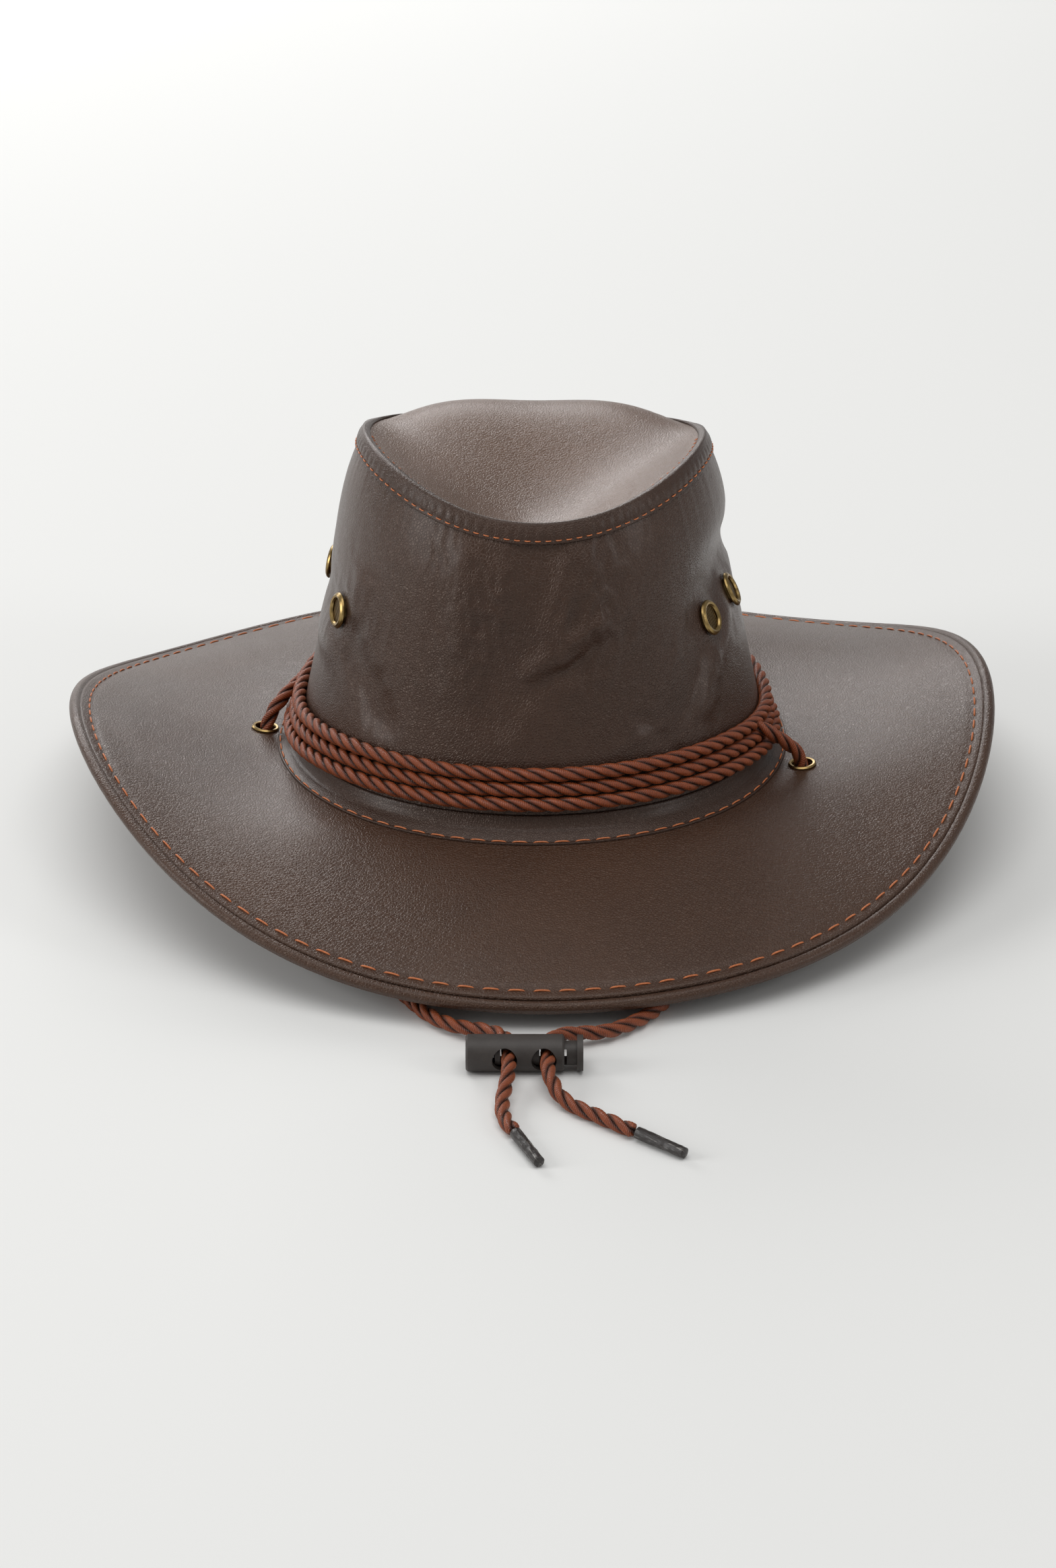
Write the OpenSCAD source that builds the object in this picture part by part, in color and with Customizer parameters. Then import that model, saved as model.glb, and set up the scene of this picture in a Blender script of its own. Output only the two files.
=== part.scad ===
// Outback-style cowboy hat in brown leatherette, resting on a table.
// The front faces -Y, the wearer's right-hand side is -X, and Z = 0 is the table.
// The wired brim curls up at both sides, the crown has a dished tip, three turns
// of twisted rope make the band, and a chin cord ends in a spring toggle lock.

/* [Head opening] */
// Width of the opening inside the sweatband
head_width = 170; // [150:1:195]
// Length of the opening inside the sweatband, front to back
head_length = 204; // [180:1:230]
// Height of the sweatband above the crown's base
sweatband_height = 30; // [20:1:38]

/* [Crown] */
// Mean height of the top seam above the crown's base
crown_height = 113; // [94:1:132]
// Width across the top seam
crown_top_width = 127; // [106:1:150]
// Length of the top seam, front to back
crown_top_length = 160; // [134:1:190]
// How far the top seam sits off centre towards +X
crown_lean = 0.8; // [0:0.1:3]
// Height of the crest behind the middle of the tip, and depth of the dish before it
tip_crest = 8; // [4:0.5:11]
// How far the crown's wall swells outwards below the top seam
crown_swell = 3.2; // [0:0.1:5]
// Depth of the pinch in the crown's wall at its +X side
crown_pinch = 6; // [0:0.1:7]
// Width of the folded strip that covers the top seam
rim_fold_width = 6; // [4:0.5:8]

/* [Brim] */
// Overall width of the brim, side to side
brim_width = 354; // [300:2:424]
// Overall length of the brim, front to back
brim_length = 384; // [330:2:460]
// Height that the two sides curl up above the brim's mean level
brim_curl = 20; // [12:0.5:26]
// Height of the crown's base above the brim edge's mean level
base_rise = 8; // [4:0.2:14]
// Outside diameter of the rolled edge
roll_d = 4.6; // [4:0.1:6]
// Diameter of the spring-steel wire in the rolled edge
wire_d = 1.6; // [1:0.1:2]

/* [Sheet thicknesses] */
// Thickness of the leatherette
leather_t = 1.1; // [0.8:0.1:1.4]
// Thickness of the stiff foam inside the brim
brim_core_t = 1.1; // [0.8:0.1:2]
// Thickness of the lining cloth
lining_t = 0.5; // [0.3:0.1:0.8]
// Thickness of the sweatband
sweatband_t = 1.2; // [0.8:0.1:1.6]
// Room between the crown's leatherette and its lining
lining_room = 2.1; // [1.9:0.1:4]

/* [Rope band and chin cord] */
// Diameter of the twisted rope
rope_d = 5.4; // [4.6:0.1:5.8]
// Height of the lowest turn's middle above the crown's base
band_height = 12.3; // [11.6:0.1:22]
// Length of the sheath on each end of the cord
aglet_length = 21; // [15:1:30]
// Diameter of that sheath
aglet_d = 4.4; // [3.6:0.1:5]

/* [Metal eyelets] */
// Outside diameter of a brim eyelet's flange
eyelet_d = 10.6; // [10:0.1:12]
// Diameter of the hole that the cord passes through
eyelet_hole_d = 7.5; // [6.4:0.1:8]
// Outside diameter of a crown vent
vent_d = 13.5; // [12:0.1:15]
// Height of the vents above the crown's base
vent_height = 63.5; // [52:0.5:74]

/* [Toggle lock] */
// Diameter of the lock's barrel
barrel_d = 12.9; // [12.5:0.1:15]
// Length of the lock's barrel
barrel_length = 33.9; // [32:0.1:40]
// Diameter of the barrel's two cord holes
cord_hole_d = 8.6; // [8.2:0.1:9]
// How far the plunger can be pressed in
plunger_travel = 3.5; // [2:0.1:3.8]

/* [Hidden] */

steps = 48;                 // stations round the hat
turn = 360 / steps;
gap = 0.05;                 // between layers sewn or glued face to face
fine = 64;                  // $fn of the round metal and plastic pieces

// The crown's wall, from its outer face inwards
wall_stack = leather_t + lining_room + lining_t + 0.1 + sweatband_t;
base_a = head_width / 2 + wall_stack;
base_b = head_length / 2 + wall_stack;
rim_a = crown_top_width / 2;
rim_b = crown_top_length / 2;
base_pitch = 0.05;          // the base rises this much per millimetre towards the front
base_egg = 0.05;            // the base is fuller in front than behind, by this share
base_shift = 6;             // and widest this far in front of the middle

// The top seam's height as it goes round: [harmonic, cosine part, sine part]
rim_waves = [[1, -1, -11.5], [2, 8, 0], [3, 0, -1.5], [4, 0.5, 0]];
tip_drop = 1.7;             // the tip's middle below the seam's mean height
tip_fill = 1.5;             // raises the tip between its middle and the seam
tip_corner = 2;             // raises it towards its four corners
pinch_angle = -15;          // middle of the side pinch
pinch_share = 0.61;         // its height as a share of the wall's
pinch_wide = 30;            // its spread round the wall, in degrees
pinch_tall = 0.115;         // and up the wall, as a share

// The brim's edge
roll_r = roll_d / 2;
side_flat = 5;              // squares the sides of the outline
nose = 4;                   // points the front and back of the outline
edge_a = brim_width / 2 - roll_r + side_flat;
edge_b = brim_length / 2 - roll_r - nose;
edge_waves = [[1, -0.5, -6], [2, brim_curl, 5.5], [3, 2, -3], [4, 3.5, 3], [5, 0.5, 0]];
brim_sweep = 1.5;           // power by which the brim leaves the crown's base
brim_t = 2 * leather_t + brim_core_t + 2 * gap;
brim_inset = leather_t + lining_room + 0.4;

collar_reach = 7.2;         // the collar's edge beyond the crown's wall
collar_height = 7;
collar_rows = [2.6, 4.2];   // where it turns up: its under face and its outer face
band_pitch = rope_d - gap;  // the turns also step inwards, up the leaning wall
band_rest = [1.2, 0, 0];    // the lowest turn stands off, on the collar's top
band_nest = [0, 0.45, 0.45];    // so the turns above it sink in a little behind it
band_sag = 5;               // the band dips at both sides
band_back = 4;              // and at the back
cord_r = rope_d / 2;

// Metal pieces
eyelet_spots = [[-179.5, 12.7939], [-18.1, 15.399]]; // [angle, distance out from the wall]
eyelet_wall = 0.5;
eyelet_clear = 0.2;         // between an eyelet's barrel and the brim's holes
vent_angles = [-31.6, -10.3, 170, 204.5];
vent_under_top = 49.5;      // the vents stay at least this far below the top seam
vent_up = min(vent_height, crown_height - vent_under_top);
vent_seat = 0.75;           // under the flange, which rests on the wall's curve
vent_barrel_r = vent_d / 2 - 1.8;
vent_wall = 0.5;
vent_clear = 0.3;

// Toggle lock, lying along X with its closed end at lock_x
lock_x = -23;
lock_front = 25.5;          // the lock lies this far in front of the brim
lock_y = -brim_length / 2 - lock_front;
barrel_r = barrel_d / 2;
hole_1 = 13.4;              // cord holes' distances from the closed end
hole_2 = 26.9;
cord_shift = cord_hole_d / 2 - cord_r - 0.2;      // the cords lie against one side
bore_r = 4.45;
plunger_r = 4.25;
slot_clear = 0.25;
head_gap = plunger_travel + 0.9;
head_r = 6.25;
head_t = 2.1;
plunger_wall = 1.8;
end_wall = 1.5;
plunger_end = hole_1 + cord_shift - cord_r - slot_clear - plunger_wall;
spring_wire_d = 0.7;
spring_r = 3.1;
spring_turns = 3.5;

function waves(list, a) = [for (w = list) w[1] * cos(w[0] * a) + w[2] * sin(w[0] * a)]
    * [for (w = list) 1];
function unit(v) = v / norm(v);
function mix(p, q, t) = p + (q - p) * t;

// Everything is lifted so that the rolled edge's lowest point touches the table
lift = roll_r - min([for (i = [0:steps - 1]) waves(edge_waves, i * turn)]);

// Height of the crown's base plane at angle a
function base_z(a) = lift + base_rise - base_pitch * base_b * sin(a);
function base_point(a, out) = [
    (base_a + out) * cos(a) * (1 - base_egg * sin(a)),
    (base_b + out) * sin(a) - base_shift * cos(a) * cos(a),
    base_z(a)];
function rim_z(a) = lift + base_rise + crown_height + waves(rim_waves, a);
function rim_point(a, out) =
    [crown_lean + (rim_a + out) * cos(a), (rim_b + out) * sin(a), rim_z(a)];
// How far the wall stands out at share v of its height: a swell less the side pinch
function angle_between(a, b) = abs((a - b + 540) % 360 - 180);
function bell(x) = exp(-x * x);
function wall_swell(a, v) = crown_swell * sin(180 * v * v * v) - crown_pinch
    * bell((v - pinch_share) / pinch_tall)
    * bell(angle_between(a, pinch_angle) / pinch_wide);
// A point on the crown's wall: h above the base, out beyond the outer face
function wall_point(a, h, out) = let (
    v = h / (rim_z(a) - base_z(a)), far = out + wall_swell(a, v))
    mix(base_point(a, far), rim_point(a, far), v);
// The same, but counted d below the top seam
function below_rim(a, d, out) = wall_point(a, rim_z(a) - base_z(a) - d, out);
// A point on the dished tip, share r of the way out to the seam
function tip_point(a, r, dz) = [
    crown_lean + rim_a * r * cos(a),
    rim_b * r * sin(a),
    mix(tip_z, rim_z(a), r * r) + 4 * r * (1 - r) * tip_bump(a) + dz];
function tip_bump(a) = tip_fill + tip_crest * sin(a) - tip_corner * cos(4 * a);
tip_z = lift + base_rise + crown_height - tip_drop;

// Middle of the rolled edge
function edge_point(a) = [
    edge_a * cos(a) - side_flat * cos(3 * a),
    edge_b * sin(a) - nose * sin(3 * a),
    lift + waves(edge_waves, a)];
// A point in the brim, share u of the way out, dz above the middle of its thickness
function brim_point(a, u, dz) = let (
    p = base_point(a, -brim_inset), q = edge_point(a), flat = mix(p, q, u),
    inner_z = base_z(a) - brim_t / 2 - gap)
    [flat.x, flat.y, mix(inner_z, q.z, pow(u, brim_sweep)) + dz];
function brim_span(a) = let (p = base_point(a, -brim_inset), q = edge_point(a))
    norm([q.x - p.x, q.y - p.y]);
// Share of the way out of a point that lies out beyond the crown's wall
function share_at(a, out) = (out + brim_inset) / brim_span(a);
function last_share(a) = 1 - (roll_r + 0.3) / brim_span(a);

// A closed ring whose section at each angle is an anticlockwise loop of points. The
// loop's two halves are split the same way, so that sheets face to face fit together.
module ring(loops) {
    n = len(loops[0]);
    m = len(loops);
    polyhedron(
        points = [for (loop = loops) each loop],
        faces = [for (i = [0:m - 1], j = [0:n - 1]) let (
            k = (i + 1) % m, l = (j + 1) % n,
            p = i * n + j, q = k * n + j, r = k * n + l, s = i * n + l)
            each (j < n / 2 ? [[p, r, q], [p, s, r]] : [[p, s, q], [s, r, q]])],
        convexity = 8);
}
// A closed dish between an upper and a lower surface, both given as rings of points
module dish(upper, lower, top_middle, bottom_middle) {
    m = len(upper[0]);
    rows = len(upper);
    under = rows * m;
    polyhedron(
        points = concat([for (row = upper) each row], [for (row = lower) each row],
            [top_middle, bottom_middle]),
        faces = concat(
            [for (i = [0:rows - 2], j = [0:m - 1]) let (k = (j + 1) % m)
                each [[i * m + j, (i + 1) * m + k, (i + 1) * m + j],
                    [i * m + j, i * m + k, (i + 1) * m + k]]],
            [for (i = [0:rows - 2], j = [0:m - 1]) let (k = (j + 1) % m)
                each [[under + i * m + j, under + (i + 1) * m + j, under + (i + 1) * m + k],
                    [under + i * m + j, under + (i + 1) * m + k, under + i * m + k]]],
            [for (j = [0:m - 1]) let (k = (j + 1) % m, o = (rows - 1) * m)
                each [[o + j, o + k, under + o + k], [o + j, under + o + k, under + o + j]]],
            [for (j = [0:m - 1]) let (k = (j + 1) % m)
                each [[2 * under, k, j], [2 * under + 1, under + j, under + k]]]),
        convexity = 8);
}
// A round tube swept along points, with its frame carried from ring to ring
function tangents(p) = [for (i = [0:len(p) - 1])
    unit(p[min(i + 1, len(p) - 1)] - p[max(i - 1, 0)])];
function carried(t, v, i = 0, done = []) = i == len(t) ? done :
    let (w = unit(v - (v * t[i]) * t[i])) carried(t, w, i + 1, concat(done, [w]));
module swept_tube(p, r, sides = 8) {
    t = tangents(p);
    side = carried(t, unit(cross(t[0], [0.3, 0.2, 0.9])));
    n = len(p);
    polyhedron(
        points = [for (i = [0:n - 1], j = [0:sides - 1]) let (
            b = 360 * j / sides, across = cross(t[i], side[i]))
            p[i] + r * (cos(b) * side[i] + sin(b) * across)],
        faces = concat(
            [for (i = [0:n - 2], j = [0:sides - 1]) let (k = (j + 1) % sides, o = i * sides)
                each [[o + j, o + sides + j, o + sides + k], [o + j, o + sides + k, o + k]]],
            [[for (j = [0:sides - 1]) j]],
            [[for (j = [sides - 1:-1:0]) (n - 1) * sides + j]]),
        convexity = 8);
}
// Puts a piece that stands on Z = 0 at a point, with its +Z along a direction
module stand_on(point, direction) {
    d = unit(direction);
    translate(point) rotate([0, acos(d.z), atan2(d.y, d.x)]) children();
}

angles = [for (i = [0:steps - 1]) i * turn];
wall_rows = 9;

// Crown

wall_foot = 0.6;            // the wall's raw edge above the brim, inside the collar
wall_top = 2.2;             // and below the seam, under the folded strip
function wall_row(a, v, out) = wall_point(a,
    mix(wall_foot, rim_z(a) - base_z(a) - wall_top, v / wall_rows), out);
module crown_side() {
    color("#4a3c36") difference() {
        ring([for (a = angles) concat(
            [for (v = [0:wall_rows]) wall_row(a, v, 0)],
            [for (v = [wall_rows:-1:0]) wall_row(a, v, -leather_t)])]);
        at_vents() cylinder(r = vent_barrel_r + vent_clear, h = 8, center = true, $fn = fine);
    }
}
fold_lip = 0.965;           // the folded strip's inner edge, as a share of the tip
tip_shares = [0.2, 0.4, 0.6, 0.8, fold_lip, 1];
module crown_tip() {
    color("#8b7c75") dish(
        [for (r = tip_shares) [for (a = angles) tip_point(a, r, -gap)]],
        [for (r = tip_shares) [for (a = angles) tip_point(a, r, -gap - leather_t)]],
        [crown_lean, 0, tip_z - gap], [crown_lean, 0, tip_z - gap - leather_t]);
}
module crown_rim_fold() {
    color("#43352f") ring([for (a = angles) [
        below_rim(a, rim_fold_width, gap),
        below_rim(a, rim_fold_width, leather_t),
        below_rim(a, 1, leather_t),
        rim_point(a, 0.6) + [0, 0, 0.6],
        tip_point(a, 1, leather_t),
        tip_point(a, fold_lip, leather_t),
        tip_point(a, fold_lip, gap),
        rim_point(a, 0.2) + [0, 0, gap],
        below_rim(a, 1, gap)]]);
}
// The flared strip that joins the crown's wall to the brim
module crown_collar() {
    color("#43352f") ring([for (a = angles) let (
        top = brim_t / 2, end = share_at(a, collar_reach)) [
        brim_point(a, end, top + gap),
        brim_point(a, end, top + 0.8),
        brim_point(a, share_at(a, collar_rows[1]), top + leather_t),
        wall_point(a, 3.6, leather_t + 0.6),
        wall_point(a, collar_height, leather_t),
        wall_point(a, collar_height, 2 * gap),
        wall_point(a, 2.4, 4 * gap),
        brim_point(a, share_at(a, collar_rows[0]), top + gap)]]);
}
function lining_row(a, v, out) =
    wall_point(a, mix(wall_foot, rim_z(a) - base_z(a) - 5.5, v / wall_rows), out);
module lining_side() {
    out = -leather_t - lining_room;
    color("#2b2523") ring([for (a = angles) concat(
        [for (v = [0:wall_rows]) lining_row(a, v, out)],
        [for (v = [wall_rows:-1:0]) lining_row(a, v, out - lining_t)])]);
}
lining_shares = [0.25, 0.5, 0.75, 0.95];
module lining_tip() {
    drop = leather_t + lining_room;
    color("#2b2523") dish(
        [for (r = lining_shares) [for (a = angles) tip_point(a, r, -drop)]],
        [for (r = lining_shares) [for (a = angles) tip_point(a, r, -drop - lining_t)]],
        [crown_lean, 0, tip_z - drop], [crown_lean, 0, tip_z - drop - lining_t]);
}
module sweatband() {
    out = sweatband_t - wall_stack;
    color("#2a201c") ring([for (a = angles) [
        base_point(a, out) - [0, 0, brim_t],
        wall_point(a, sweatband_height / 2, out),
        wall_point(a, sweatband_height, out),
        wall_point(a, sweatband_height, out - sweatband_t),
        wall_point(a, sweatband_height / 2, out - sweatband_t),
        base_point(a, out - sweatband_t) - [0, 0, brim_t]]]);
}

// Brim

// The rows follow the collar's edges first, then run evenly to the rolled edge
function brim_shares(a) = concat(
    [0, share_at(a, collar_rows[0]), share_at(a, collar_rows[1])],
    [for (v = [0:5]) mix(share_at(a, collar_reach), last_share(a), v / 5)]);
module brim_layer(low, high) {
    difference() {
        ring([for (a = angles) let (shares = brim_shares(a), last = len(shares) - 1) concat(
            [for (i = [0:last]) brim_point(a, shares[i], low)],
            [for (i = [last:-1:0]) brim_point(a, shares[i], high)])]);
        at_eyelets() cylinder(r = eyelet_hole_d / 2 + eyelet_wall + eyelet_clear, h = 12,
            center = true, $fn = fine);
    }
}
module brim_upper() {
    color("#5a4a42") brim_layer(brim_core_t / 2 + gap, brim_t / 2);
}
module brim_core() {
    color("#30302e") brim_layer(-brim_core_t / 2, brim_core_t / 2);
}
module brim_under() {
    color("#3c2f2a") brim_layer(-brim_t / 2, -brim_core_t / 2 - gap);
}
// Place round the rolled edge: r from its middle at angle b, 0 being outwards
function roll_point(a, r, b) = let (
    q = edge_point(a), p = base_point(a, -brim_inset), n = unit([q.x - p.x, q.y - p.y]))
    [q.x + n.x * r * cos(b), q.y + n.y * r * cos(b), q.z + r * sin(b)];
module brim_wire() {
    color("#8a8c90") ring([for (a = angles)
        [for (b = [0:60:300]) roll_point(a, wire_d / 2, b)]]);
}
// The strip folded round the wire, open on the side where the brim's layers come in
module brim_binding() {
    color("#3b2b25") ring([for (a = angles) concat(
        [for (b = [-135:45:135]) roll_point(a, roll_r, b)],
        [for (b = [135:-45:-135]) roll_point(a, roll_r - leather_t, b)])]);
}

// Rope band

function band_h(a, n) = band_height + n * band_pitch - band_nest[n]
    - band_sag * pow(cos(a), 8) - band_back * max(0, sin(a));
module band_turn(n) {
    color("#85492f") ring([for (a = angles) let (
        c = wall_point(a, band_h(a, n), cord_r + 0.1 + band_rest[n]),
        way = unit([cos(a) / base_a, sin(a) / base_b]))
        [for (b = [0:45:315]) [c.x + way.x * cord_r * cos(b), c.y + way.y * cord_r * cos(b),
            c.z + cord_r * sin(b)]]]);
}
module band_turn_low() {
    band_turn(0);
}
module band_turn_middle() {
    band_turn(1);
}
module band_turn_high() {
    band_turn(2);
}

// Metal pieces

module at_vents() {
    for (a = vent_angles) {
        side = wall_point(a + 1, vent_up, 0) - wall_point(a - 1, vent_up, 0);
        up = wall_point(a, vent_up + 1, 0) - wall_point(a, vent_up - 1, 0);
        stand_on(wall_point(a, vent_up, 0), cross(side, up)) children();
    }
}
module vent_rims() {
    r = vent_d / 2;
    color("#8d7444") at_vents() rotate_extrude($fn = fine) polygon([
        [vent_barrel_r - vent_wall, -leather_t - 1.3],
        [vent_barrel_r, -leather_t - 1.3],
        [vent_barrel_r, vent_seat],
        [r - 0.2, vent_seat],
        [r, vent_seat + 0.4],
        [r - 0.3, vent_seat + 1],
        [r - 1.1, vent_seat + 1.6],
        [r - 1.8, vent_seat + 1.4],
        [vent_barrel_r - vent_wall, vent_seat + 0.8]]);
}
module vent_meshes() {
    r = vent_barrel_r - vent_wall - 0.05;
    rib = 1.1;
    color("#6f5a36") at_vents() {
        cylinder(r = r, h = vent_seat, $fn = fine);
        intersection() {
            cylinder(r = r, h = 2 * vent_seat, $fn = fine);
            for (y = [-3 * rib:rib:3 * rib])
                translate([-r, y - 0.3, vent_seat - 0.1]) cube([2 * r, 0.6, 0.6]);
        }
    }
}
module vent_washers() {
    color("#8d7444") at_vents() translate([0, 0, -leather_t - 1.1]) difference() {
        cylinder(r = vent_d / 2 - 0.6, h = 0.4, $fn = fine);
        translate([0, 0, -1]) cylinder(r = vent_barrel_r + 0.05, h = 3, $fn = fine);
    }
}
module at_eyelets() {
    for (spot = eyelet_spots) {
        a = spot[0];
        u = share_at(a, spot[1]);
        side = brim_point(a + 1, u, 0) - brim_point(a - 1, u, 0);
        out = brim_point(a, u + 0.02, 0) - brim_point(a, u - 0.02, 0);
        stand_on(brim_point(a, u, 0), cross(out, side)) children();
    }
}
module brim_eyelets() {
    hole = eyelet_hole_d / 2;
    flange = eyelet_d / 2;
    face = brim_t / 2 + 0.2;
    color("#a88a4e") at_eyelets() rotate_extrude($fn = fine) polygon([
        [hole, -brim_t / 2 - 0.8],
        [hole + eyelet_wall, -brim_t / 2 - 0.8],
        [hole + eyelet_wall, face],
        [flange, face],
        [flange, face + 0.3],
        [flange - 0.5, face + 0.8],
        [hole + 0.3, face + 0.7],
        [hole, face + 0.2]]);
}
module brim_washers() {
    color("#a88a4e") at_eyelets() translate([0, 0, -brim_t / 2 - 0.6]) difference() {
        cylinder(r = eyelet_d / 2 + 0.2, h = 0.4, $fn = fine);
        translate([0, 0, -1]) cylinder(r = eyelet_hole_d / 2 + eyelet_wall + 0.05, h = 3,
            $fn = fine);
    }
}

// Chin cord: from the band, through the brim's eyelet, along the table and the lock

cord_z = cord_r + 0.1;
lock_z = barrel_r;
left_x = lock_x + hole_1 + cord_shift;
right_x = lock_x + hole_2 + cord_shift;
// The routes are drawn for these sizes, and follow the head opening and the brim's front
plan_a = 90;
plan_b = 107;
plan_front = 192;
plan_lock_y = -plan_front - lock_front;
free_from = -60;            // forward of here the cords begin to follow the brim's front
free_over = 130;            // and this much further on they follow it wholly
function laid(route) = [for (p = route) let (
    far = max(0, min(1, (free_from - p.y) / free_over)), near = 1 - far)
    [p.x * (1 + near * (base_a / plan_a - 1)),
        p.y * (1 + near * (base_b / plan_b - 1)) + far * (plan_front - brim_length / 2), p.z]];
left_route = [
    [-85.8, 24, 43], [-87.8, 16, 44.2], [-90, 9, 44.8], [-92.6, 3.5, 44.2],
    [-95.6, -0.6, 42.5], [-98.3, -3.2, 40], [-100.4, -4.9, 36.9], [-101.8, -5.7, 33.2],
    [-102.6, -6, 29.4], [-103.2, -4.5, 22], [-104.6, 2, 13.5],
    [-105.8, 8.6, 8.6], [-107, 17, 5.5], [-105, 29, 3.2], [-98, 39.5, cord_z],
    [-86.5, 44, cord_z], [-75, 40, cord_z], [-68, 30, cord_z], [-66, 16, cord_z],
    [-67, 0, cord_z], [-69, -16, cord_z], [-71, -32, cord_z], [-72, -48, cord_z],
    [-72, -64, cord_z], [-71, -80, cord_z], [-69, -96, cord_z], [-66, -112, cord_z],
    [-62, -128, cord_z], [-57, -143, cord_z], [-50.5, -158, cord_z],
    [-43, -173, cord_z], [-35, -186, 3.2], [-26.5, -193.5, 3.8], [-18, -198.5, 5],
    [-11.6, -203.5, 6], [left_x - 0.3, plan_lock_y + 7.6, lock_z],
    [left_x, plan_lock_y, lock_z], [left_x, plan_lock_y - 6.6, lock_z],
    [left_x, plan_lock_y - 12.6, lock_z], [left_x - 0.7, -236, 5.2],
    [left_x - 1.8, -243, 3.6], [left_x - 2, -250, cord_z],
    [left_x - 0.8, -258, cord_z], [-6, -265.4, cord_z]];
right_route = [
    [82.5, -45.6, 52], [88.2, -45.8, 49], [93.2, -44.2, 45], [97.6, -42.6, 41],
    [100.6, -41.6, 36.8], [101.7, -41.3, 32.4], [102.1, -40.8, 27.6], [103, -37, 19],
    [104.5, -29, 10.5], [105, -18, 5.2], [102.5, -6.5, 3.2], [95.5, 3.5, cord_z],
    [84, 8, cord_z], [72.5, 4.5, cord_z], [65, -5, cord_z], [62, -18, cord_z],
    [62, -33, cord_z], [63, -48, cord_z], [64.5, -63, cord_z], [66, -78, cord_z],
    [67, -93, cord_z], [67, -108, cord_z], [65.5, -123, cord_z], [62, -138, cord_z],
    [57, -152, cord_z], [50.5, -166, cord_z], [43, -180, cord_z], [34.5, -190.5, 3.2],
    [25.5, -197.5, 3.8], [16.5, -200.7, 4.8], [9.5, -204, 5.9],
    [right_x + 0.3, plan_lock_y + 7.6, lock_z], [right_x, plan_lock_y, lock_z],
    [right_x, plan_lock_y - 6.6, lock_z], [right_x, plan_lock_y - 12.6, lock_z],
    [right_x + 1.5, -236, 5.2], [9.5, -242.5, 3.6], [14.5, -248.5, cord_z],
    [21, -254, cord_z], [28, -260, cord_z], [34.5, -265.4, cord_z]];
module chin_cord_left() {
    color("#85492f") swept_tube(laid(left_route), cord_r);
}
module chin_cord_right() {
    color("#85492f") swept_tube(laid(right_route), cord_r);
}
// The shrunk sheath on the cord's end, lying a little lower at its tip
module aglet(route) {
    last = route[len(route) - 1];
    way = unit(last - route[len(route) - 2]);
    drop = (cord_z - aglet_d / 2 - 0.1) / aglet_length;
    color("#2e2a28") stand_on(last + 0.3 * way, [way.x, way.y, -drop])
        cylinder(d = aglet_d, h = aglet_length, $fn = fine);
}
module aglet_left() {
    aglet(laid(left_route));
}
module aglet_right() {
    aglet(laid(right_route));
}

// Toggle lock

module along_lock(x = 0) {
    translate([lock_x + x, lock_y, lock_z]) rotate([0, 90, 0]) children();
}
module lock_barrel() {
    edge = 0.7;
    color("#3b3733") difference() {
        along_lock() rotate_extrude($fn = fine) polygon([
            [0, 0],
            [barrel_r - edge, 0],
            [barrel_r, edge],
            [barrel_r, barrel_length - edge],
            [barrel_r - edge, barrel_length],
            [bore_r, barrel_length],
            [bore_r, end_wall],
            [0, end_wall]]);
        for (x = [hole_1, hole_2])
            translate([lock_x + x, lock_y, lock_z]) rotate([90, 0, 0])
                cylinder(d = cord_hole_d, h = 2 * barrel_d, center = true, $fn = fine);
    }
}
module lock_plunger() {
    tall = rope_d + 2 * slot_clear;
    color("#353230") difference() {
        union() {
            along_lock(plunger_end) cylinder(r = plunger_r, $fn = fine,
                h = barrel_length + head_gap - plunger_end);
            along_lock(barrel_length + head_gap) cylinder(r = head_r, h = head_t, $fn = fine);
        }
        for (x = [hole_1, hole_2]) {
            start = x + cord_shift - cord_r - slot_clear;
            translate([lock_x + start, lock_y - barrel_d, lock_z - tall / 2])
                cube([rope_d + 2 * slot_clear + plunger_travel, 2 * barrel_d, tall]);
        }
    }
}
module lock_spring() {
    length = plunger_end - end_wall - spring_wire_d - 0.1;
    color("#b5b7ba") swept_tube([for (i = [0:10:360 * spring_turns])
        [lock_x + end_wall + spring_wire_d / 2 + 0.05 + length * i / (360 * spring_turns),
        lock_y + spring_r * cos(i), lock_z + spring_r * sin(i)]], spring_wire_d / 2, 6);
}

crown_side();
crown_tip();
crown_rim_fold();
crown_collar();
lining_side();
lining_tip();
sweatband();
brim_upper();
brim_core();
brim_under();
brim_wire();
brim_binding();
band_turn_low();
band_turn_middle();
band_turn_high();
vent_rims();
vent_meshes();
vent_washers();
brim_eyelets();
brim_washers();
chin_cord_left();
chin_cord_right();
aglet_left();
aglet_right();
lock_barrel();
lock_plunger();
lock_spring();
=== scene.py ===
# A cowboy hat of dark brown leatherette, with a laid rope band, metal vents and a chin cord
# that closes with a toggle lock. Sizes are in millimetres until they reach a mesh.
import math

import bmesh
import bpy
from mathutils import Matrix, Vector, noise


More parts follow.
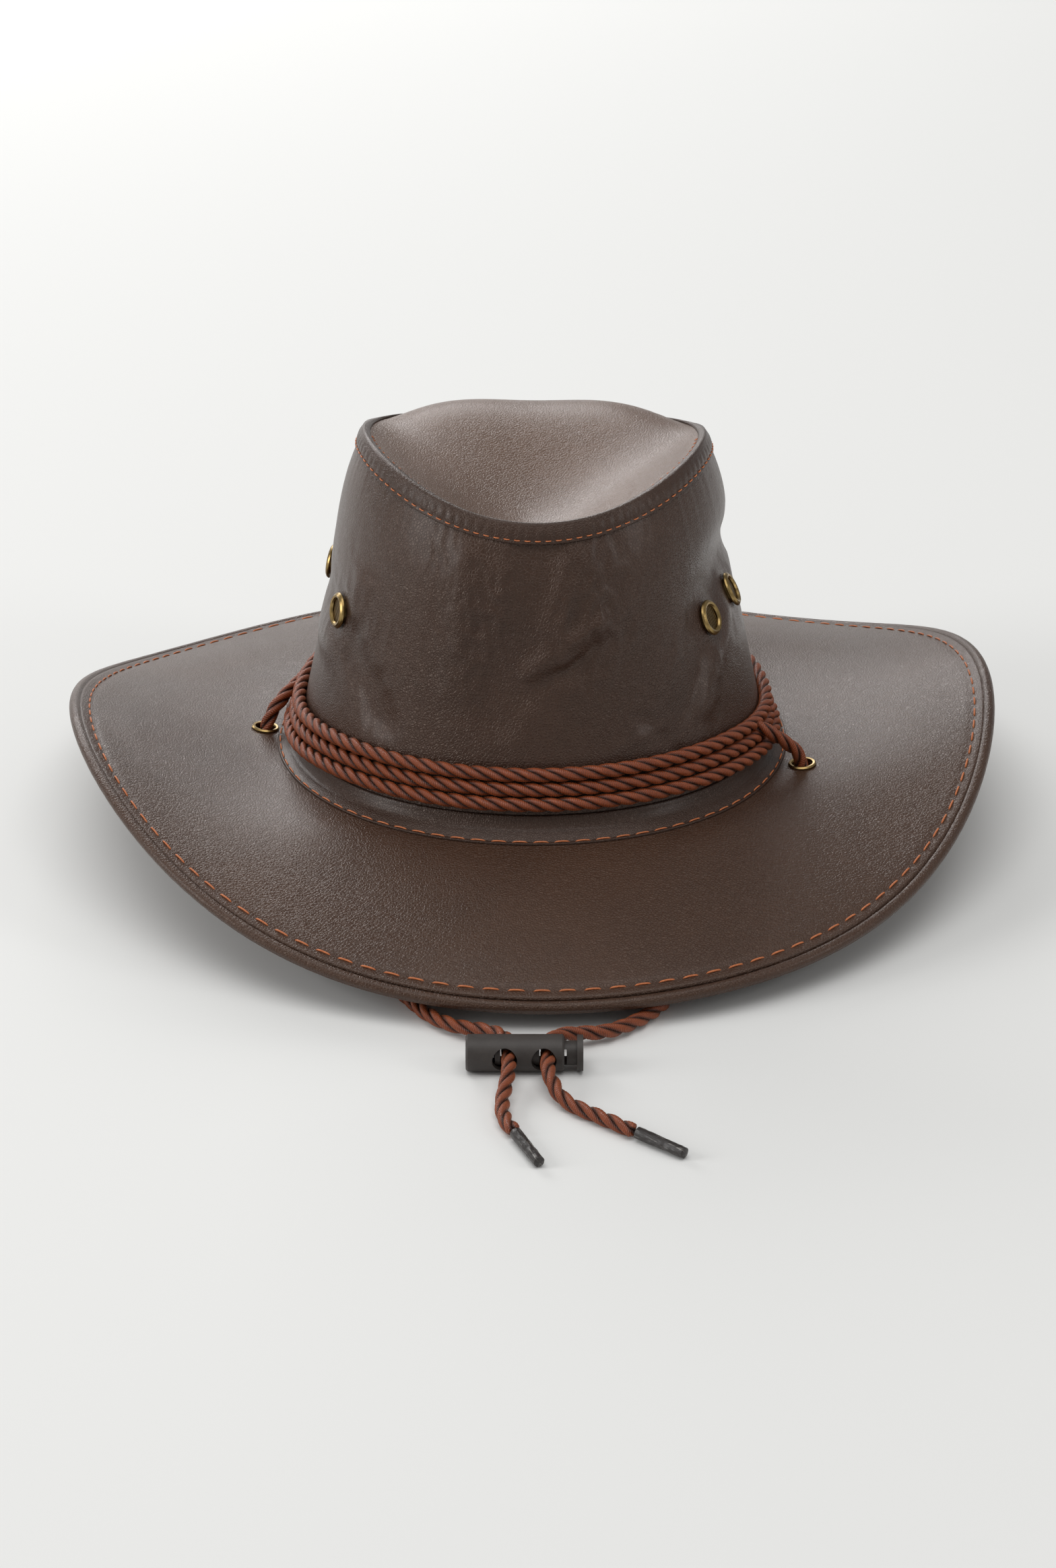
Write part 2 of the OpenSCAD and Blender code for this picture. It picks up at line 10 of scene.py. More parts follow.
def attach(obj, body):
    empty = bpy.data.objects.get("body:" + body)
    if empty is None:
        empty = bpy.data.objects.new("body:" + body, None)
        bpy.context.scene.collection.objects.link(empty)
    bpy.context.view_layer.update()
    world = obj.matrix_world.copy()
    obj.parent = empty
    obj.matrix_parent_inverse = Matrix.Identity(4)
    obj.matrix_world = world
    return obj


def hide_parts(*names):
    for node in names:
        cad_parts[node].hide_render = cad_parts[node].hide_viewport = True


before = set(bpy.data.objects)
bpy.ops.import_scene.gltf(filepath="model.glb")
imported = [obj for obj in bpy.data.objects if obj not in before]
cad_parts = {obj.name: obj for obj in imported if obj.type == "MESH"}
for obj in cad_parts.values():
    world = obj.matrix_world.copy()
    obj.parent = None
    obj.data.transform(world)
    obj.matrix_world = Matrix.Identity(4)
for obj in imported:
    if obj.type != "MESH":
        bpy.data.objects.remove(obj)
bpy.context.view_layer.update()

# Camera
# A long lens from in front and a little above, far enough off to keep the brim's oval true.
eye = bpy.data.cameras.new("camera")
eye.lens = 100.4
eye.sensor_width = 36
eye.clip_end = 20
camera = bpy.data.objects.new("camera", eye)
camera.location = (-0.00157, -1.5344, 0.7369)
camera.rotation_euler = (math.radians(64.5), 0, 0)
bpy.context.scene.collection.objects.link(camera)
bpy.context.scene.camera = camera

# Chin cord
# Two lengths of laid satin rope, each of three right-hand strands of rayon thread. They come
# down from behind the band, through the brim's eyelets, and meet in the toggle lock.
rope_radius = 2.7
rope_lay = 21.5
left_route = [
    (-85.8, 24, 43), (-87.8, 16, 44.2), (-90, 9, 44.8), (-92.6, 3.5, 44.2),
    (-95.6, -0.6, 42.5), (-98.3, -3.2, 40), (-100.4, -4.9, 36.9), (-101.8, -5.7, 33.2),
    (-102.6, -6, 29.4), (-103.2, -4.5, 22), (-104.6, 2, 13.5), (-105.8, 8.6, 8.6),
    (-107, 17, 5.5), (-105, 29, 3.2), (-98, 39.5, 2.8), (-86.5, 44, 2.8), (-75, 40, 2.8),
    (-68, 30, 2.8), (-66, 16, 2.8), (-67, 0, 2.8), (-69, -16, 2.8), (-71, -32, 2.8),
    (-72, -48, 2.8), (-72, -64, 2.8), (-71, -80, 2.8), (-69, -96, 2.8), (-66, -112, 2.8),
    (-62, -128, 2.8), (-57, -143, 2.8), (-50.5, -158, 2.8), (-43, -173, 2.8),
    (-35, -186, 3.2), (-26.5, -193.5, 3.8), (-18, -198.5, 5), (-11.6, -203.5, 6),
    (-8.5, -209.9, 6.45), (-8.2, -217.5, 6.45), (-8.2, -224.1, 6.45), (-8.2, -230.1, 6.45),
    (-8.9, -236, 5.2), (-10, -243, 3.6), (-10.2, -250, 2.8), (-9, -258, 2.8),
    (-6, -265.4, 2.8)]
right_route = [
    (82.5, -45.6, 52), (88.2, -45.8, 49), (93.2, -44.2, 45), (97.6, -42.6, 41),
    (100.6, -41.6, 36.8), (101.7, -41.3, 32.4), (102.1, -40.8, 27.6), (103, -37, 19),
    (104.5, -29, 10.5), (105, -18, 5.2), (102.5, -6.5, 3.2), (95.5, 3.5, 2.8), (84, 8, 2.8),
    (72.5, 4.5, 2.8), (65, -5, 2.8), (62, -18, 2.8), (62, -33, 2.8), (63, -48, 2.8),
    (64.5, -63, 2.8), (66, -78, 2.8), (67, -93, 2.8), (67, -108, 2.8), (65.5, -123, 2.8),
    (62, -138, 2.8), (57, -152, 2.8), (50.5, -166, 2.8), (43, -180, 2.8), (34.5, -190.5, 3.2),
    (25.5, -197.5, 3.8), (16.5, -200.7, 4.8), (9.5, -204, 5.9), (5.6, -209.9, 6.45),
    (5.3, -217.5, 6.45), (5.3, -224.1, 6.45), (5.3, -230.1, 6.45), (6.8, -236, 5.2),
    (9.5, -242.5, 3.6), (14.5, -248.5, 2.8), (21, -254, 2.8), (28, -260, 2.8),
    (34.5, -265.4, 2.8)]


def eased(route, step):
    """The route as one smooth line, with a point every step millimetres."""
    ends = [Vector(p) for p in route]
    ends = [2 * ends[0] - ends[1], *ends, 2 * ends[-1] - ends[-2]]
    fine = []
    for p, q, r, t in zip(ends, ends[1:], ends[2:], ends[3:]):
        for i in range(12):
            x = i / 12
            fine.append(0.5 * (2 * q + (r - p) * x + (2 * p - 5 * q + 4 * r - t) * x * x
                               + (3 * q - p - 3 * r + t) * x ** 3))
    fine.append(ends[-2])
    run = [0]
    for p, q in zip(fine, fine[1:]):
        run.append(run[-1] + (q - p).length)
    count = round(run[-1] / step)
    line, k = [], 0
    for i in range(count + 1):
        want = run[-1] * i / count
        while k < len(run) - 2 and run[k + 1] < want:
            k += 1
        line.append(fine[k].lerp(fine[k + 1], (want - run[k]) / (run[k + 1] - run[k])))
    return line


def length_of(line):
    return sum((q - p).length for p, q in zip(line, line[1:]))


def linear(code):
    """An sRGB hex colour as linear red, green, blue and alpha."""
    parts = [int(code[i:i + 2], 16) / 255 for i in (1, 3, 5)]
    return [p / 12.92 if p <= 0.04045 else ((p + 0.055) / 1.055) ** 2.4 for p in parts] + [1]


def add(finish, kind, settings=None, **inputs):
    """Adds a node, with its settings, and its inputs as values or links."""
    node = finish.node_tree.nodes.new(kind)
    for name, value in (settings or {}).items():
        setattr(node, name, value)
    for name, value in inputs.items():
        name = name.replace("_", " ")
        socket = node.inputs[int(name[1:]) if name[1:].isdigit() else name]
        if isinstance(value, bpy.types.NodeSocket):
            finish.node_tree.links.new(value, socket)
        else:
            socket.default_value = value
    return node


def new_finish(name, **inputs):
    """A material with its shader's own sockets set."""
    finish = bpy.data.materials.new(name)
    finish.use_nodes = True
    shader = finish.node_tree.nodes["Principled BSDF"]
    for key, value in inputs.items():
        shader.inputs[key.replace("_", " ")].default_value = value
    return finish, shader


def join(finish, output, shader, socket):
    finish.node_tree.links.new(output, shader.inputs[socket])


def bend(bm, place, around, across, size):
    """Adds a grid and bends it: place(u, v) gives each corner's place in millimetres."""
    made = bmesh.ops.create_grid(bm, x_segments=around, y_segments=across, size=0.5)["verts"]
    cloth = bm.loops.layers.uv.verify()
    for face in {face for vert in made for face in vert.link_faces}:
        face.smooth = True
        for loop in face.loops:
            at = loop.vert.co
            loop[cloth].uv = ((at.x + 0.5) * size[0] / 1000, (at.y + 0.5) * size[1] / 1000)
    for vert in made:
        vert.co = Vector(place(vert.co.x + 0.5, vert.co.y + 0.5)) / 1000


def made_up(name, bm, finish, slot, body, *nodes):
    """Closes the seams and poles, turns the faces outwards and puts the piece on its body."""
    bmesh.ops.remove_doubles(bm, verts=bm.verts, dist=2e-6)
    bmesh.ops.recalc_face_normals(bm, faces=bm.faces)
    mesh = bpy.data.meshes.new(name)
    bm.to_mesh(mesh)
    bm.free()
    piece = bpy.data.objects.new(name, mesh)
    bpy.context.scene.collection.objects.link(piece)
    mesh.materials.append(finish)
    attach(piece, body)
    if nodes:
        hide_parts(*nodes)
    return piece


# Twisted rayon satin: bright copper brown threads whose fine ridges catch a soft shine. The
# thread pitch is 0.4 mm on the real rope and 0.75 mm here, so that it shows.
satin, shader = new_finish("rayon_satin_rope", Roughness=0.42, Sheen_Weight=0.25,
                           Sheen_Roughness=0.4)
shader.inputs["Sheen Tint"].default_value = linear("#E0946A")
shader.inputs["Specular IOR Level"].default_value = 0.45
lie = add(satin, "ShaderNodeTexCoord").outputs["UV"]
turned = add(satin, "ShaderNodeMapping", Vector=lie, Rotation=(0, 0, 0.45))
ridges = add(satin, "ShaderNodeTexWave", {"wave_profile": "SIN"}, Vector=turned.outputs[0],
             Scale=0.314 / 0.00075, Distortion=1.2, Detail=1.0)
blotch = add(satin, "ShaderNodeTexNoise", Vector=lie, Scale=260.0, Detail=3.0)
tone = add(satin, "ShaderNodeMix", {"data_type": "RGBA"}, Factor=blotch.outputs["Fac"],
           _6=linear("#64290F"), _7=linear("#AC572F"))
# Painted shade: the colour is multiplied darker in the grooves between the thread ridges.
thread_groove_shade = add(satin, "ShaderNodeMix", {"data_type": "RGBA", "blend_type": "MULTIPLY"},
            _0=0.35, _6=tone.outputs[2], _7=ridges.outputs["Color"])
# Painted shade: the colour darkens towards near black where a strand turns in against its
# neighbours.
around = add(satin, "ShaderNodeSeparateXYZ", Vector=lie)
angle = add(satin, "ShaderNodeMath", {"operation": "MULTIPLY"}, _0=around.outputs["Y"],
            _1=math.tau / 0.00916)
outward = add(satin, "ShaderNodeMath", {"operation": "COSINE"}, _0=angle.outputs[0])
strand_crevice_shade = add(satin, "ShaderNodeMapRange", Value=outward.outputs[0])
strand_crevice_shade.inputs[1].default_value = 0.0
strand_crevice_shade.inputs[2].default_value = 0.75
# Painted shade in the crevices between strands, mixed into the base colour.
deep = add(satin, "ShaderNodeMix", {"data_type": "RGBA"}, Factor=strand_crevice_shade.outputs[0],
           _6=linear("#2A0E07"), _7=thread_groove_shade.outputs[2])
join(satin, deep.outputs[2], shader, "Base Color")
relief = add(satin, "ShaderNodeBump", Height=ridges.outputs["Fac"], Strength=0.7,
             Distance=0.00022)
join(satin, relief.outputs[0], shader, "Normal")


def carried_sides(line):
    """A side direction at each point of an open line, carried along without twist."""
    side = Vector((0.3, 0.2, 0.9))
    sides = []
    for i in range(len(line)):
        way = (line[min(i + 1, len(line) - 1)] - line[max(i - 1, 0)]).normalized()
        side = (side - side.dot(way) * way).normalized()
        sides.append(side)
    return sides


def lay_rope(bm, line, sides, radius, lay, closed):
    """Three strands laid right-handed along a line, each a fat tube that bulges a little."""
    count = len(line) - 1
    total = length_of(line)
    turns = round(total / lay) if closed else total / lay
    for strand in range(3):
        centres, out = [], []
        for i, (p, side) in enumerate(zip(line, sides)):
            before = line[i - 1] if i else (line[-2] if closed else line[0])
            after = line[i + 1] if i < count else (line[1] if closed else line[-1])
            way = (after - before).normalized()
            phase = 2 * math.pi * (turns * i / count + strand / 3)
            n = side * math.cos(phase) + way.cross(side) * math.sin(phase)
            wander = 0.03 * noise.noise(p * 0.11 + Vector((0, 0, 9 * strand)))
            centres.append(p + n * radius * (0.49 + wander))
            out.append(n)

        def strand_place(u, v):
            i = round(u * count)
            q = centres[i]
            if closed:
                way = centres[(i + 1) % count] - centres[(i - 1) % count]
            else:
                way = centres[min(i + 1, count)] - centres[max(i - 1, 0)]
            way.normalize()
            n = (out[i] - out[i].dot(way) * way).normalized()
            b = 2 * math.pi * v
            thick = radius * (0.51 + 0.03 * noise.noise(q * 0.2))
            if not closed and i in (0, count):
                thick = 0
            return q + thick * (math.cos(b) * n + 1.04 * math.sin(b) * way.cross(n))

        bend(bm, strand_place, count, 12, (total * 1.12, math.tau * radius * 0.54))


cords = {}
for side_name, route in (("left", left_route), ("right", right_route)):
    line = eased(route, 1.3)
    bm = bmesh.new()
    lay_rope(bm, line, carried_sides(line), rope_radius, rope_lay, False)
    cord = made_up("chin_rope_" + side_name, bm, satin, "rope", "hat",
                   "chin_cord_" + side_name)
    cords[side_name] = (cord, line)

# Aglets
# Each cord's end is bound in shrink sheath: a black film pulled tight over the rope, crinkled
# and torn lengthwise so that silver shows.
sheath, shader = new_finish("shrunk_black_film", Roughness=0.3)
shader.inputs["Specular IOR Level"].default_value = 0.6
place = add(sheath, "ShaderNodeTexCoord").outputs["UV"]
stretched = add(sheath, "ShaderNodeMapping", Vector=place, Scale=(120, 700, 1))
tears = add(sheath, "ShaderNodeTexNoise", Vector=stretched.outputs[0], Scale=1.0, Detail=5.0,
            Roughness=0.65)
torn = add(sheath, "ShaderNodeValToRGB", Fac=tears.outputs["Fac"])
torn.color_ramp.elements[0].position = 0.56
torn.color_ramp.elements[0].color = linear("#27211E")
torn.color_ramp.elements[1].position = 0.68
torn.color_ramp.elements[1].color = linear("#9A9690")
join(sheath, torn.outputs["Color"], shader, "Base Color")
crinkle = add(sheath, "ShaderNodeBump", Height=tears.outputs["Fac"], Strength=0.8,
              Distance=0.0006)
join(sheath, crinkle.outputs[0], shader, "Normal")

aglet_length = 21
aglets = {}
for side_name, (cord, line) in cords.items():
    way = (line[-1] - line[-6]).normalized()
    start = line[-1] + way * 0.3
    tip = start + Vector((way.x, way.y, 0)).normalized() * 20.9 - Vector((0, 0, 0.45))
    across = way.cross(Vector((0, 0, 1))).normalized()
    up = across.cross(way)

    def film(u, v):
        b = math.tau * v
        rim = 2.12 + 0.16 * noise.noise(Vector((u * 9, 2 * math.cos(b), 2 * math.sin(b))))
        rim *= 1 - 0.1 * u
        end = min(u, 1 - u)
        rim = rim * min(1, end * 40) ** 0.5 if end < 0.025 else rim
        return start.lerp(tip, u) + across * rim * math.cos(b) + up * rim * math.sin(b)

    bm = bmesh.new()
    bend(bm, film, 80, 28, (aglet_length, 13.5))
    aglets[side_name] = made_up("aglet_film_" + side_name, bm, sheath, "shrink_sheath", "hat",
                                "aglet_" + side_name)

for side_name, (cord, line) in cords.items():
    with_it = [aglets[side_name]]
    if side_name == "left":
        with_it += [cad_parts[n] for n in ("lock_barrel", "lock_plunger", "lock_spring")]

# Toggle lock
# A moulded barrel with two cord holes, and a sprung plunger that pinches the cords. Matt dark
# nylon, mottled a little paler at random, over a bright steel spring.
nylon, shader = new_finish("matt_moulded_nylon", Roughness=0.5)
shader.inputs["Specular IOR Level"].default_value = 0.4
place = add(nylon, "ShaderNodeTexCoord").outputs["Object"]
cloud = add(nylon, "ShaderNodeTexNoise", Vector=place, Scale=180.0, Detail=6.0, Roughness=0.7)
shade = add(nylon, "ShaderNodeMix", {"data_type": "RGBA"}, Factor=cloud.outputs["Fac"],
            _6=linear("#2B2725"), _7=linear("#4A4440"))
join(nylon, shade.outputs[2], shader, "Base Color")
spark = add(nylon, "ShaderNodeTexNoise", Vector=place, Scale=2600.0, Detail=2.0)
skin = add(nylon, "ShaderNodeBump", Height=spark.outputs["Fac"], Strength=0.25,
           Distance=0.0001)
join(nylon, skin.outputs[0], shader, "Normal")

steel, shader = new_finish("drawn_spring_steel", Metallic=1.0, Roughness=0.3)
place = add(steel, "ShaderNodeTexCoord").outputs["Object"]
drawn = add(steel, "ShaderNodeTexNoise", Vector=place, Scale=900.0, Detail=3.0)
grey = add(steel, "ShaderNodeMix", {"data_type": "RGBA"}, Factor=drawn.outputs["Fac"],
           _6=linear("#8F9092"), _7=linear("#C2C3C4"))
join(steel, grey.outputs[2], shader, "Base Color")


def recoat(finish, *nodes):
    """Gives CAD nodes that keep their shape their real finish."""
    for node in nodes:
        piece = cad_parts[node]
        piece.data.materials.clear()
        piece.data.materials.append(finish)
        for face in piece.data.polygons:
            face.material_index = 0


recoat(nylon, "lock_barrel", "lock_plunger")
recoat(steel, "lock_spring", "brim_wire")

# Crown wall
# One band of leatherette, a coated cloth embossed with fine calf grain, closed behind. It is
# 1.1 mm thick and has been pushed in at the front and at its right side, so it has set in
# soft folds there.
leather_t = 1.1
deepest_fold = 1.7          # more would meet the lining
wall_foot = 0.6
vent_angles = (-31.6, -10.3, 170, 204.5)
vent_height = 63.5
base_a = 90
base_b = 107
rim_a = 63.5
rim_b = 80
rim_waves = [(1, -1, -11.5), (2, 8, 0), (3, 0, -1.5), (4, 0.5, 0)]
edge_waves = [(1, -0.5, -6), (2, 20, 5.5), (3, 2, -3), (4, 3.5, 3), (5, 0.5, 0)]


def c(a):
    return math.cos(math.radians(a))


def s(a):
    return math.sin(math.radians(a))


def waves(rows, a):
    return sum(p * c(n * a) + q * s(n * a) for n, p, q in rows)


lift = 2.3 - min(waves(edge_waves, i * 7.5) for i in range(48))


def base_z(a):
    return lift + 8 - 0.05 * base_b * s(a)


def rim_z(a):
    return lift + 121 + waves(rim_waves, a)


def base_point(a, out):
    return Vector(((base_a + out) * c(a) * (1 - 0.05 * s(a)),
                   (base_b + out) * s(a) - 6 * c(a) ** 2, base_z(a)))


def rim_point(a, out):
    return Vector((0.8 + (rim_a + out) * c(a), (rim_b + out) * s(a), rim_z(a)))


def bell(x):
    return math.exp(-x * x)


def swell(a, v):
    apart = abs((a + 15 + 540) % 360 - 180)
    return 3.2 * s(180 * v ** 3) - 6 * bell((v - 0.61) / 0.115) * bell(apart / 30)


def wall_point(a, h, out):
    v = h / (rim_z(a) - base_z(a))
    far = out + swell(a, v)
    return base_point(a, far).lerp(rim_point(a, far), v)


def below_rim(a, d, out):
    return wall_point(a, rim_z(a) - base_z(a) - d, out)


# Each fold runs from one end to the other: place across the front, share of the height
# below the top seam at both ends, how far it stands out (or in), and half its width
folds = [
    ((2, 0.07), (-13, 0.6), -3.2, 7.5),
    ((-2, 0.47), (24, 0.31), 1.3, 4.5), ((-8, 0.56), (20, 0.41), -1.1, 5),
    ((78, 0.28), (63, 0.70), 2.2, 4.2), ((68, 0.30), (57, 0.68), -2.4, 7),
    ((-71, 0.48), (-56, 0.70), -2.5, 5.5), ((-62, 0.33), (-77, 0.62), 1.7, 4.2),
    ((-24, 0.10), (-30, 0.55), 0.8, 4), ((18, 0.08), (24, 0.36), 0.9, 4),
    ((-14, 0.08), (-20, 0.42), -0.7, 3.5), ((11, 0.10), (12, 0.42), 0.8, 3),
    ((40, 0.66), (54, 0.80), -0.8, 2.6), ((30, 0.74), (52, 0.70), 0.6, 2.4)]


def fold(a, v, x):
    """How far the wall's folds and crinkles stand off its smooth shape."""
    t = 1 - v
    rise = 0
    if s(a) < 0.25:
        for (x0, t0), (x1, t1), deep, wide in folds:
            dx, dt = x1 - x0, (t1 - t0) * 113
            px, pt = x - x0, (t - t0) * 113
            along = max(0, min(1, (px * dx + pt * dt) / (dx * dx + dt * dt)))
            off = math.hypot(px - along * dx, pt - along * dt)
            rise += deep * bell(off / wide)
    creased = bell((abs(x) - 20) / 16) * bell((t - 0.3) / 0.28) * (1 if s(a) < 0 else 0.25)
    creased += 0.5 * bell((abs(x) - 62) / 14) * bell((t - 0.55) / 0.25)
    at = Vector((x * 0.16, s(a) * 9, t * 9))
    rise += creased * 1.15 * (1 - 2.2 * abs(noise.noise(at * 1.3)))
    rise += 0.5 * noise.noise(Vector((x * 0.03, s(a) * 2.5, t * 3)))
    puckers = math.exp(-t * 113 / 9)
    rise += 0.5 * puckers * noise.noise(Vector((a * 0.45, 0.4 * t, 3)))
    if rise < 0:
        rise = -deepest_fold * math.tanh(-rise / deepest_fold)
    return rise * min(1, v * 6) * min(1, t * 14 + 0.2)


def wall_place(a, v, out):
    top = rim_z(a) - base_z(a) - 2.2
    h = wall_foot + (top - wall_foot) * v
    p = wall_point(a, h, out)
    near = min((p - wall_point(w, vent_height, 0)).length for w in vent_angles)
    calm = min(1, max(0, (near - 7) / 6))
    way = Vector((c(a) / base_a, s(a) / base_b, 0)).normalized()
    return p + way * fold(a, v, p.x) * calm


def grained_leather(name, dark, light, roughness, grain_mm, deep):
    """Leatherette with an embossed calf grain: pebbles under a millimetre across, some fine
    creases, and a satin coat that is a little rubbed and uneven."""
    finish, shader = new_finish(name, Roughness=roughness)
    shader.inputs["Specular IOR Level"].default_value = 0.5
    shader.inputs["Specular Tint"].default_value = linear("#F2DDCF")
    shader.inputs["Coat Weight"].default_value = 0.22
    shader.inputs["Coat Roughness"].default_value = 0.3
    at = add(finish, "ShaderNodeTexCoord").outputs["Object"]
    patch = add(finish, "ShaderNodeTexNoise", Vector=at, Scale=22.0, Detail=5.0,
                Roughness=0.6)
    speck = add(finish, "ShaderNodeTexNoise", Vector=at, Scale=420.0, Detail=4.0,
                Roughness=0.7)
    both = add(finish, "ShaderNodeMath", {"operation": "MULTIPLY_ADD"},
               _0=patch.outputs["Fac"], _1=0.7, _2=0.0)
    fine = add(finish, "ShaderNodeMath", {"operation": "MULTIPLY_ADD"},
               _0=speck.outputs["Fac"], _1=0.45, _2=both.outputs[0])
    hue = add(finish, "ShaderNodeMix", {"data_type": "RGBA"}, Factor=fine.outputs[0],
              _6=linear(dark), _7=linear(light))
    join(finish, hue.outputs[2], shader, "Base Color")
    gloss = add(finish, "ShaderNodeMapRange", Value=fine.outputs[0])
    gloss.inputs[3].default_value = roughness - 0.07
    gloss.inputs[4].default_value = roughness + 0.09
    join(finish, gloss.outputs[0], shader, "Roughness")
    pebbles = add(finish, "ShaderNodeTexVoronoi", {"feature": "DISTANCE_TO_EDGE"}, Vector=at,
                  Scale=1000 / grain_mm, Randomness=1.0)
    edge = add(finish, "ShaderNodeMath", {"operation": "MINIMUM"},
               _0=pebbles.outputs["Distance"], _1=0.22)
    creases = add(finish, "ShaderNodeTexNoise", Vector=at, Scale=300.0, Detail=6.0,
                  Roughness=0.65, Distortion=0.8)
    sum_up = add(finish, "ShaderNodeMath", {"operation": "MULTIPLY_ADD"},
                 _0=creases.outputs["Fac"], _1=0.55, _2=edge.outputs[0])
    bump = add(finish, "ShaderNodeBump", Height=sum_up.outputs[0], Strength=1.0,
               Distance=deep * 1.4)
    join(finish, bump.outputs[0], shader, "Normal")
    return finish


wall_leather = grained_leather("satin_grained_leatherette", "#21130C", "#452F24", 0.33, 1.1,
                               0.0004)


def ring_of(bm, sheet, around, across, size):
    """A closed sheet round the hat: up its outer face and back down its inner one."""
    bend(bm, lambda u, v: sheet(360 * u, 2 * v if v <= 0.5 else 2 - 2 * v, v > 0.5),
         around, 2 * across, size)


bm = bmesh.new()
ring_of(bm, lambda a, v, inner: wall_place(a, v, -leather_t if inner else 0), 420, 80,
        (540, 230))
made_up("crown_wall", bm, wall_leather, "leatherette", "hat", "crown_side")

# Crown tip
# The oval top, cut from the same leatherette and dished. Its colours are lighter than the
# wall's: a painted highlight for the overhead light on the top. It meets the wall in the top
# seam.
tip_z = lift + 119.3


def tip_point(a, r, dz):
    edge = sum((p * c(n * a) + q * s(n * a)) * r ** (3 if n == 1 else n)
               for n, p, q in rim_waves)
    room = 1 - r * r
    crest = 20.8 * r * room * s(a) + 6 * r * r * room - 13.5 * r ** 4 * room * c(4 * a)
    return Vector((0.8 + rim_a * r * c(a), rim_b * r * s(a),
                   tip_z + 1.7 * r * r + edge + crest + dz))


# Painted highlight: the tip's leatherette colours are lighter than the wall's to stand in for
# the overhead light.
tip_leather = grained_leather("tip_leatherette_painted_highlight", "#3F2B20", "#6C5344", 0.36, 1.1,
                              0.00035)


def tip_place(a, r, under):
    ripple = 0.35 * r * noise.noise(Vector((3 * c(a) * r, 3 * s(a) * r, 5)))
    pucker = 0.25 * math.exp(-(1 - r) * 9) * noise.noise(Vector((a * 0.4, 0, 8)))
    return tip_point(a, r, (ripple + pucker) * r - 0.05 - (leather_t if under else 0))


bm = bmesh.new()
ring_of(bm, tip_place, 240, 44, (450, 150))
made_up("crown_top", bm, tip_leather, "leatherette", "hat", "crown_tip")

# Rim fold
# A strip of leatherette folded over the top seam and sewn down round the wall, 6 mm below
# the seam. The stitches pull it into small puckers.
trim_leather = grained_leather("dark_trim_leatherette", "#1E120C", "#3F2A20", 0.36, 0.9,
                               0.0003)


def around_loop(points, v):
    """A place on a closed loop of points, v going once round."""
    n = len(points)
    i = min(int(v * n), n - 1)
    return points[i].lerp(points[(i + 1) % n], v * n - i)


up = Vector((0, 0, 1))


def fold_place(u, v):
    a = 360 * u
    full = 0.28 * abs(math.sin(math.pi * u * 112)) + 0.1 * noise.noise(Vector((a * 0.3, 0, 1)))
    lip = 0.965
    return around_loop([
        below_rim(a, 6, 0.1), below_rim(a, 6.1, 0.7), below_rim(a, 5.8, 1.0),
        below_rim(a, 4.9, 0.85), below_rim(a, 3.4, 1.15 + full), below_rim(a, 1.6, 1.3 + full),
        below_rim(a, 0.6, 1.2) + up * 0.2, rim_point(a, 0.6) + up * 0.9,
        tip_point(a, 0.997, 1.1), tip_point(a, 0.985, 1.25), tip_point(a, 0.97, 1.1),
        tip_point(a, lip, 0.6), tip_point(a, lip, 0.05), rim_point(a, 0.2) + up * 0.05,
        below_rim(a, 1, 0.1)], v)


bm = bmesh.new()
bend(bm, fold_place, 900, 30, (460, 22))
made_up("rim_strip", bm, trim_leather, "leatherette", "hat", "crown_rim_fold")

# Brim
# Two faces of leatherette glued to a thin foam sheet. Its front and back dip, and its sides
# curl up. A row of long stitches runs 7.5 mm inside the rolled edge.
half_brim = 1.7             # half its thickness
stitch_in = 5.4             # the stitches, in from the middle of the rolled edge
eyelet_spots = ((-179.5, 0.1854), (-18.1, 0.2205))    # angle, and share of the way out
eyelet_clear = 4.2


def edge_point(a):
    return Vector((179.7 * c(a) - 5 * c(3 * a), 185.7 * s(a) - 4 * s(3 * a),
                   lift + waves(edge_waves, a)))


def span(a):
    return (edge_point(a).xy - base_point(a, -3.6).xy).length


def brim_point(a, u, dz):
    p, q = base_point(a, -3.6), edge_point(a)
    low = base_z(a) - half_brim - 0.05
    return Vector((p.x + (q.x - p.x) * u, p.y + (q.y - p.y) * u,
                   low + (q.z - low) * max(u, 0) ** 1.5 + dz))


def share_at(a, out):
    return (out + 3.6) / span(a)


def brim_sheet(low, high, sewn):
    def place(a, v, under):
        u = v * (1 - 1.1 / span(a))
        p = brim_point(a, u, low if under else high)
        inward = (1 - u) * span(a)
        if sewn and not under:
            stitches = 0.75 + 0.25 * math.cos(math.tau * a / 360 * 132)
            p.z -= 0.55 * bell((inward - stitch_in) / 1.3) * stitches
            p.z += 0.35 * bell((inward - 3.1) / 1.0)
            free = min(1, max(0, (inward - 8) / 12)) * min(1, max(0, u - share_at(a, 8)) * 9)
            p.z += 0.7 * free * noise.noise(Vector((p.x * 0.018, p.y * 0.018, 4)))
        return p
    return place


brim_leather = grained_leather("satin_brim_leatherette", "#26160F", "#4A3122", 0.36, 1.15,
                               0.00042)
foam, shader = new_finish("closed_cell_foam", Roughness=0.9)
cells = add(foam, "ShaderNodeTexNoise", Vector=add(foam, "ShaderNodeTexCoord").outputs["Object"],
            Scale=900.0, Detail=2.0)
dull = add(foam, "ShaderNodeMix", {"data_type": "RGBA"}, Factor=cells.outputs["Fac"],
           _6=linear("#2A2A28"), _7=linear("#3C3C39"))
join(foam, dull.outputs[2], shader, "Base Color")


